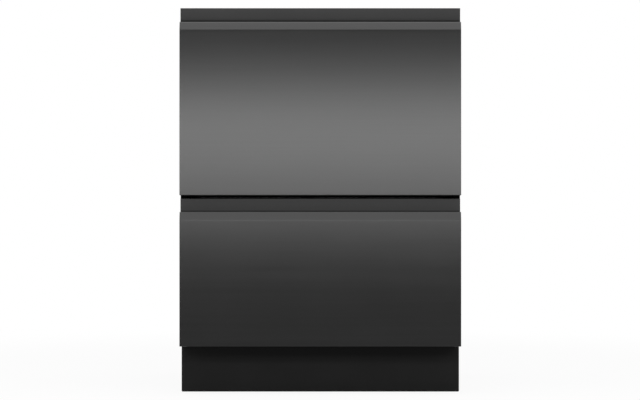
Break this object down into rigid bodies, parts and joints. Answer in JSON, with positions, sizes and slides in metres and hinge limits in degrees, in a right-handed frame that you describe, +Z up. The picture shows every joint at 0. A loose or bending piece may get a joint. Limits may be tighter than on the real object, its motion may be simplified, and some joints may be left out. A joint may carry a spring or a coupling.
{
  "type": "dishwasher with two drawers",
  "caption": "Built-in dishwasher with stacked pull-out wash drawers behind flat dark steel fronts, each with a finger pocket along its top, over a recessed toe board.",
  "frame": {"origin": "centre of the bounding box, on the floor", "axes": "+X to the right seen from the front, +Y from the drawer fronts to the rear, +Z up"},
  "size_m": [0.599, 0.573, 0.824],
  "materials": {
    "black_steel": "dark brushed stainless steel, grain along the width",
    "black_paint": "matt black powder coat",
    "zinc_steel": "galvanised sheet, faint spangle",
    "bright_steel": "bright perforated stainless steel",
    "black_plastic": "fine moulded texture",
    "grey_plastic": "fine moulded texture",
    "tub_plastic": "smooth moulded polypropylene",
    "lid_plastic": "smooth moulded polypropylene with ribs",
    "rubber": "soft black seal",
    "rack_coat": "grey plastic-coated wire"
  },
  "bodies": {
    "chassis": {"left_side_panel": "zinc_steel", "right_side_panel": "zinc_steel", "top_rear_cover": "zinc_steel", "base_pan": "zinc_steel", "kick_plinth": "black_paint", "middle_crossbar": "black_paint", "hose_ports": "black_plastic"},
    "foot_front_left": {"foot_front_left": "black_plastic"},
    "foot_front_right": {"foot_front_right": "black_plastic"},
    "foot_rear_left": {"foot_rear_left": "black_plastic"},
    "foot_rear_right": {"foot_rear_right": "black_plastic"},
    "upper_drawer": {"upper_front_skin": "black_steel", "upper_handle_recess": "black_steel", "upper_inner_door": "grey_plastic", "upper_slide_inner_left": "zinc_steel", "upper_slide_inner_right": "zinc_steel", "upper_tub": "tub_plastic", "upper_wash_motor": "black_plastic", "upper_filter_plate": "bright_steel", "upper_rack_base": "rack_coat", "upper_rack_front": "rack_coat", "upper_rack_rear": "rack_coat", "upper_rack_left": "rack_coat", "upper_rack_right": "rack_coat", "upper_dispenser": "grey_plastic"},
    "upper_slide_middles": {"upper_slide_middle_left": "zinc_steel", "upper_slide_middle_right": "zinc_steel"},
    "upper_lid": {"upper_lid": "lid_plastic", "upper_lid_seal": "rubber"},
    "upper_spray_arm": {"upper_spray_arm": "grey_plastic"},
    "upper_power_button": {"upper_power_button": "grey_plastic"},
    "upper_start_button": {"upper_start_button": "grey_plastic"},
    "upper_dispenser_door": {"upper_dispenser_door": "grey_plastic"},
    "upper_rinse_cap": {"upper_rinse_cap": "black_plastic"},
    "upper_fold_tines": {"upper_fold_tines": "rack_coat"},
    "lower_drawer": {"lower_front_skin": "black_steel", "lower_handle_recess": "black_steel", "lower_inner_door": "grey_plastic", "lower_slide_inner_left": "zinc_steel", "lower_slide_inner_right": "zinc_steel", "lower_tub": "tub_plastic", "lower_wash_motor": "black_plastic", "lower_filter_plate": "bright_steel", "lower_rack_base": "rack_coat", "lower_rack_front": "rack_coat", "lower_rack_rear": "rack_coat", "lower_rack_left": "rack_coat", "lower_rack_right": "rack_coat", "lower_dispenser": "grey_plastic", "lower_cutlery_basket": "grey_plastic"},
    "lower_slide_middles": {"lower_slide_middle_left": "zinc_steel", "lower_slide_middle_right": "zinc_steel"},
    "lower_lid": {"lower_lid": "lid_plastic", "lower_lid_seal": "rubber"},
    "lower_spray_arm": {"lower_spray_arm": "grey_plastic"},
    "lower_power_button": {"lower_power_button": "grey_plastic"},
    "lower_start_button": {"lower_start_button": "grey_plastic"},
    "lower_dispenser_door": {"lower_dispenser_door": "grey_plastic"},
    "lower_rinse_cap": {"lower_rinse_cap": "black_plastic"},
    "lower_fold_tines": {"lower_fold_tines": "rack_coat"}
  },
  "joints": [
    {"name": "foot_front_left_turn", "type": "hinge", "parent": "chassis", "child": "foot_front_left", "pos_m": [-0.246, -0.163, 0.015], "axis": [0, 0, 1], "continuous": true},
    {"name": "foot_front_right_turn", "type": "hinge", "parent": "chassis", "child": "foot_front_right", "pos_m": [0.246, -0.163, 0.015], "axis": [0, 0, 1], "continuous": true},
    {"name": "foot_rear_left_turn", "type": "hinge", "parent": "chassis", "child": "foot_rear_left", "pos_m": [-0.246, 0.2333, 0.015], "axis": [0, 0, 1], "continuous": true},
    {"name": "foot_rear_right_turn", "type": "hinge", "parent": "chassis", "child": "foot_rear_right", "pos_m": [0.246, 0.2333, 0.015], "axis": [0, 0, 1], "continuous": true},
    {"name": "upper_drawer_slide", "type": "slide", "parent": "chassis", "child": "upper_drawer", "axis": [0, -1, 0], "range_m": [0, 0.43]},
    {"name": "upper_slide_middles_travel", "type": "slide", "parent": "chassis", "child": "upper_slide_middles", "axis": [0, -1, 0], "range_m": [0, 0.215]},
    {"name": "upper_lid_lower", "type": "slide", "parent": "chassis", "child": "upper_lid", "axis": [0, 0, 1], "range_m": [-0.007, 0]},
    {"name": "upper_spray_arm_spin", "type": "hinge", "parent": "upper_drawer", "child": "upper_spray_arm", "pos_m": [0, 0.01725, 0.5577], "axis": [0, 0, 1], "continuous": true},
    {"name": "upper_power_button_press", "type": "slide", "parent": "upper_drawer", "child": "upper_power_button", "axis": [0, 0, 1], "range_m": [-0.0012, 0], "stiffness_N_per_m": 300},
    {"name": "upper_start_button_press", "type": "slide", "parent": "upper_drawer", "child": "upper_start_button", "axis": [0, 0, 1], "range_m": [-0.0012, 0], "stiffness_N_per_m": 300},
    {"name": "upper_dispenser_door_slide", "type": "slide", "parent": "upper_drawer", "child": "upper_dispenser_door", "axis": [-1, 0, 0], "range_m": [0, 0.068]},
    {"name": "upper_rinse_cap_turn", "type": "hinge", "parent": "upper_drawer", "child": "upper_rinse_cap", "pos_m": [0.066, -0.2032, 0.6957], "axis": [0, 1, 0], "range_deg": [0, 90]},
    {"name": "upper_tines_fold", "type": "hinge", "parent": "upper_drawer", "child": "upper_fold_tines", "pos_m": [0, 0.05675, 0.5862], "axis": [1, 0, 0], "range_deg": [0, 80]},
    {"name": "lower_drawer_slide", "type": "slide", "parent": "chassis", "child": "lower_drawer", "axis": [0, -1, 0], "range_m": [0, 0.43]},
    {"name": "lower_slide_middles_travel", "type": "slide", "parent": "chassis", "child": "lower_slide_middles", "axis": [0, -1, 0], "range_m": [0, 0.215]},
    {"name": "lower_lid_lower", "type": "slide", "parent": "chassis", "child": "lower_lid", "axis": [0, 0, 1], "range_m": [-0.007, 0]},
    {"name": "lower_spray_arm_spin", "type": "hinge", "parent": "lower_drawer", "child": "lower_spray_arm", "pos_m": [0, 0.01725, 0.1804], "axis": [0, 0, 1], "continuous": true},
    {"name": "lower_power_button_press", "type": "slide", "parent": "lower_drawer", "child": "lower_power_button", "axis": [0, 0, 1], "range_m": [-0.0012, 0], "stiffness_N_per_m": 300},
    {"name": "lower_start_button_press", "type": "slide", "parent": "lower_drawer", "child": "lower_start_button", "axis": [0, 0, 1], "range_m": [-0.0012, 0], "stiffness_N_per_m": 300},
    {"name": "lower_dispenser_door_slide", "type": "slide", "parent": "lower_drawer", "child": "lower_dispenser_door", "axis": [-1, 0, 0], "range_m": [0, 0.068]},
    {"name": "lower_rinse_cap_turn", "type": "hinge", "parent": "lower_drawer", "child": "lower_rinse_cap", "pos_m": [0.066, -0.2032, 0.3024], "axis": [0, 1, 0], "range_deg": [0, 90]},
    {"name": "lower_tines_fold", "type": "hinge", "parent": "lower_drawer", "child": "lower_fold_tines", "pos_m": [0, 0.05675, 0.2089], "axis": [1, 0, 0], "range_deg": [0, 80]}
  ],
  "couplings": [
    {"joint": "upper_slide_middles_travel", "follows": "upper_drawer_slide", "ratio": 0.5},
    {"joint": "lower_slide_middles_travel", "follows": "lower_drawer_slide", "ratio": 0.5}
  ]
}
